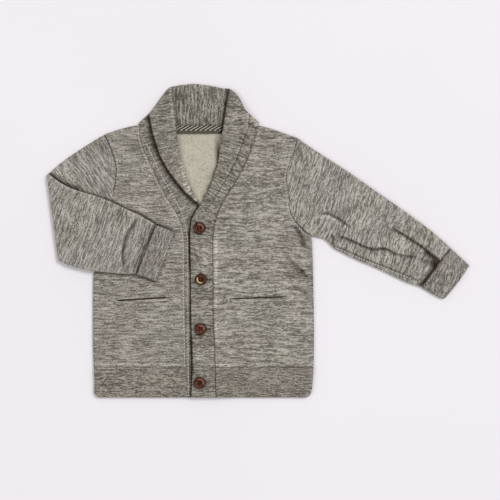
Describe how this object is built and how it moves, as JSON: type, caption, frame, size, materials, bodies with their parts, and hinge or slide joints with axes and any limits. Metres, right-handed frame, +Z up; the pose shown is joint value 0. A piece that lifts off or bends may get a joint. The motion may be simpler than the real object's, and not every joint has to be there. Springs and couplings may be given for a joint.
{
  "type": "baby cardigan laid flat",
  "caption": "Shawl-collar baby cardigan in melange terry, buttoned and laid flat, one sleeve folded over the front and the other stretched out.",
  "frame": {"origin": "middle of the laid-out garment's box, on the table that it lies on", "axes": "+X the wearer's left, across the garment; +Y up the body towards the collar; +Z up from the table"},
  "size_m": [0.5402, 0.401, 0.0134],
  "materials": {
    "terry": "grey-brown melange French terry with short horizontal slubs, cream fleece reverse",
    "band_terry": "the same terry cut double, a little darker and finer",
    "neck_tape": "black and off-white herringbone tape with a plain dark edge",
    "button": "polished reddish-brown horn effect"
  },
  "bodies": {
    "root": {"back": "terry", "front_left": "terry", "front_right": "terry", "collar_band_left": "terry", "collar_band_right": "terry", "hem_back": "band_terry", "hem_left": "band_terry", "hem_right": "band_terry", "sleeve_left": "terry", "sleeve_right": "terry", "cuff_left": "band_terry", "cuff_right": "band_terry", "pocket_welt_left": "terry", "pocket_welt_right": "terry", "neck_tape": "neck_tape", "button_1": "button", "button_2": "button", "button_3": "button", "button_4": "button"}
  },
  "joints": []
}
